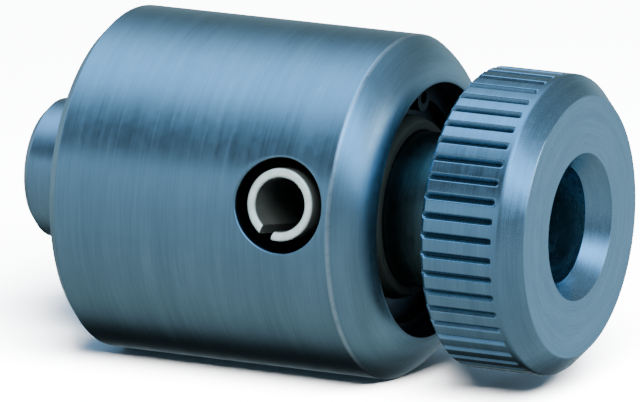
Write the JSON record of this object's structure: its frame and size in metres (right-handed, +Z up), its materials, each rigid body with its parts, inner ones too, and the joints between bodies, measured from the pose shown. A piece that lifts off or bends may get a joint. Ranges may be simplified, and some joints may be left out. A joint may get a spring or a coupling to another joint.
{
  "type": "live center",
  "caption": "Turning lathe center with a knurled cup nose on a sprung bearing cartridge, in a round steel housing with a rear spigot.",
  "frame": {"origin": "on the axis, in the plane of the housing's rear face, where the spigot meets the mounting shoulder", "axes": "+X along the turning axis from the spigot towards the cup nose, +Z up, the side window on the -Y side"},
  "size_m": [0.0648, 0.038, 0.038],
  "materials": {
    "turned_housing": "fine turned, lightly oiled",
    "turned_nose": "fine turned with straight knurl",
    "turned_spindle": "ground, dark oiled",
    "turned_plug": "turned",
    "ground_sleeve": "ground",
    "bright_pin": "bright end grain, satin",
    "black_oxide": "black oxide",
    "spring_steel": "phosphated spring steel",
    "bearing_steel": "ground and polished",
    "shield_sheet": "pressed sheet",
    "bright_balls": "polished",
    "cage_brass": "machined brass",
    "bronze": "sintered bronze",
    "seal_rubber": "matt black nitrile"
  },
  "bodies": {
    "housing": {"housing": "turned_housing", "tail_plug": "turned_plug", "plug_lock_screw": "black_oxide", "snap_ring": "black_oxide", "disc_spring_rear": "spring_steel", "disc_spring_front": "spring_steel"},
    "cartridge": {"cartridge_sleeve": "ground_sleeve", "sleeve_o_ring": "seal_rubber", "spring_pin": "bright_pin", "bearing_retainer": "turned_plug", "tail_bush": "bronze", "shim_washer": "spring_steel", "thrust_housing_washer": "bearing_steel", "outer_spacer": "turned_plug", "bearing_outer_ring": "bearing_steel", "bearing_shields": "shield_sheet"},
    "spindle": {"spindle": "turned_spindle", "bearing_inner_ring": "bearing_steel", "thrust_shaft_washer": "bearing_steel", "tail_washer": "spring_steel", "tail_nut": "black_oxide", "dust_ring": "seal_rubber", "cup_nose": "turned_nose"},
    "bearing_cage": {"bearing_cage": "cage_brass", "bearing_balls": "bright_balls"},
    "thrust_cage": {"thrust_cage": "cage_brass", "thrust_balls": "bright_balls"}
  },
  "joints": [
    {"name": "cartridge_slide", "type": "slide", "parent": "housing", "child": "cartridge", "axis": [1, 0, 0], "range_m": [-0.0009, 0], "stiffness_N_per_m": 10000, "springref_m": 0.002, "deforming": ["disc_spring_rear", "disc_spring_front"]},
    {"name": "spindle_spin", "type": "hinge", "parent": "cartridge", "child": "spindle", "pos_m": [0.0202, 0, 0], "axis": [1, 0, 0], "continuous": true},
    {"name": "bearing_cage_spin", "type": "hinge", "parent": "cartridge", "child": "bearing_cage", "pos_m": [0.0202, 0, 0], "axis": [1, 0, 0], "continuous": true},
    {"name": "thrust_cage_spin", "type": "hinge", "parent": "cartridge", "child": "thrust_cage", "pos_m": [0.0147, 0, 0], "axis": [1, 0, 0], "continuous": true}
  ],
  "couplings": [
    {"joint": "bearing_cage_spin", "follows": "spindle_spin", "ratio": 0.4083},
    {"joint": "thrust_cage_spin", "follows": "spindle_spin", "ratio": 0.5}
  ]
}
